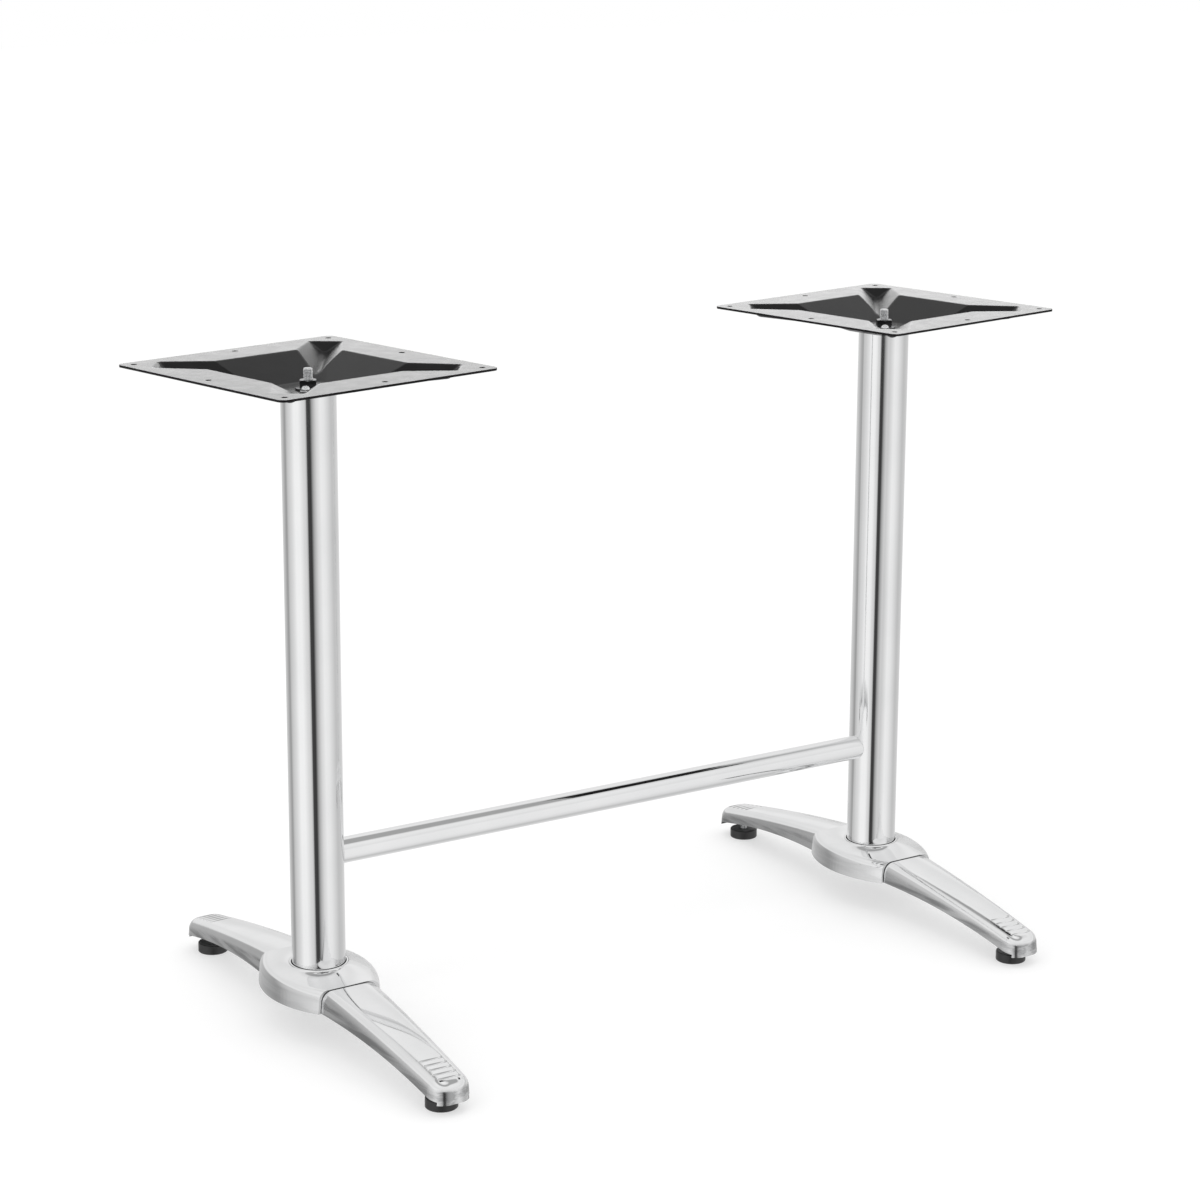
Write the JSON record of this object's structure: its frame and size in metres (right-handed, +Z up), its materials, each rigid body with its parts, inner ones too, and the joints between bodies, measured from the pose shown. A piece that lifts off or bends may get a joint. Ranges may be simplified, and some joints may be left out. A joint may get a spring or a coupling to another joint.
{
  "type": "dining table base",
  "caption": "Twin pedestal base for a dining table: polished columns on cast feet with levelling glides, a stretcher between them and pressed black plates for the top.",
  "frame": {"origin": "on the floor, midway between the two columns", "axes": "+X along the stretcher from the left column to the right one, +Z up, -Y is the front"},
  "size_m": [1.0768, 0.578, 0.72],
  "materials": {
    "polished_aluminium": "mirror polished",
    "machined_aluminium": "turned, satin",
    "black_steel": "fine textured powder coat",
    "zinc_steel": "bright zinc plate",
    "black_plastic": "moulded, satin"
  },
  "bodies": {
    "base": {"left_arm_bolts": "zinc_steel", "left_base_nut": "zinc_steel", "left_base_washer": "zinc_steel", "left_column": "polished_aluminium", "left_column_cap": "machined_aluminium", "left_foot_hub": "polished_aluminium", "left_front_arm": "polished_aluminium", "left_plate_screw": "zinc_steel", "left_rear_arm": "polished_aluminium", "left_saddle_washer": "zinc_steel", "left_stretcher_bolt": "zinc_steel", "left_stretcher_plug": "machined_aluminium", "left_tie_rod": "zinc_steel", "left_top_nut": "zinc_steel", "left_top_plate": "black_steel", "left_top_washer": "zinc_steel", "right_arm_bolts": "zinc_steel", "right_base_nut": "zinc_steel", "right_base_washer": "zinc_steel", "right_column": "polished_aluminium", "right_column_cap": "machined_aluminium", "right_foot_hub": "polished_aluminium", "right_front_arm": "polished_aluminium", "right_plate_screw": "zinc_steel", "right_rear_arm": "polished_aluminium", "right_saddle_washer": "zinc_steel", "right_stretcher_bolt": "zinc_steel", "right_stretcher_plug": "machined_aluminium", "right_tie_rod": "zinc_steel", "right_top_nut": "zinc_steel", "right_top_plate": "black_steel", "right_top_washer": "zinc_steel", "stretcher": "polished_aluminium"},
    "left_rear_glide": {"left_rear_glide_pad": "black_plastic", "left_rear_glide_stud": "zinc_steel"},
    "left_front_glide": {"left_front_glide_pad": "black_plastic", "left_front_glide_stud": "zinc_steel"},
    "right_rear_glide": {"right_rear_glide_pad": "black_plastic", "right_rear_glide_stud": "zinc_steel"},
    "right_front_glide": {"right_front_glide_pad": "black_plastic", "right_front_glide_stud": "zinc_steel"}
  },
  "joints": [
    {"name": "left_rear_glide_height", "type": "slide", "parent": "base", "child": "left_rear_glide", "axis": [0, 0, -1], "range_m": [-0.003, 0.006]},
    {"name": "left_front_glide_height", "type": "slide", "parent": "base", "child": "left_front_glide", "axis": [0, 0, -1], "range_m": [-0.003, 0.006]},
    {"name": "right_rear_glide_height", "type": "slide", "parent": "base", "child": "right_rear_glide", "axis": [0, 0, -1], "range_m": [-0.003, 0.006]},
    {"name": "right_front_glide_height", "type": "slide", "parent": "base", "child": "right_front_glide", "axis": [0, 0, -1], "range_m": [-0.003, 0.006]}
  ]
}
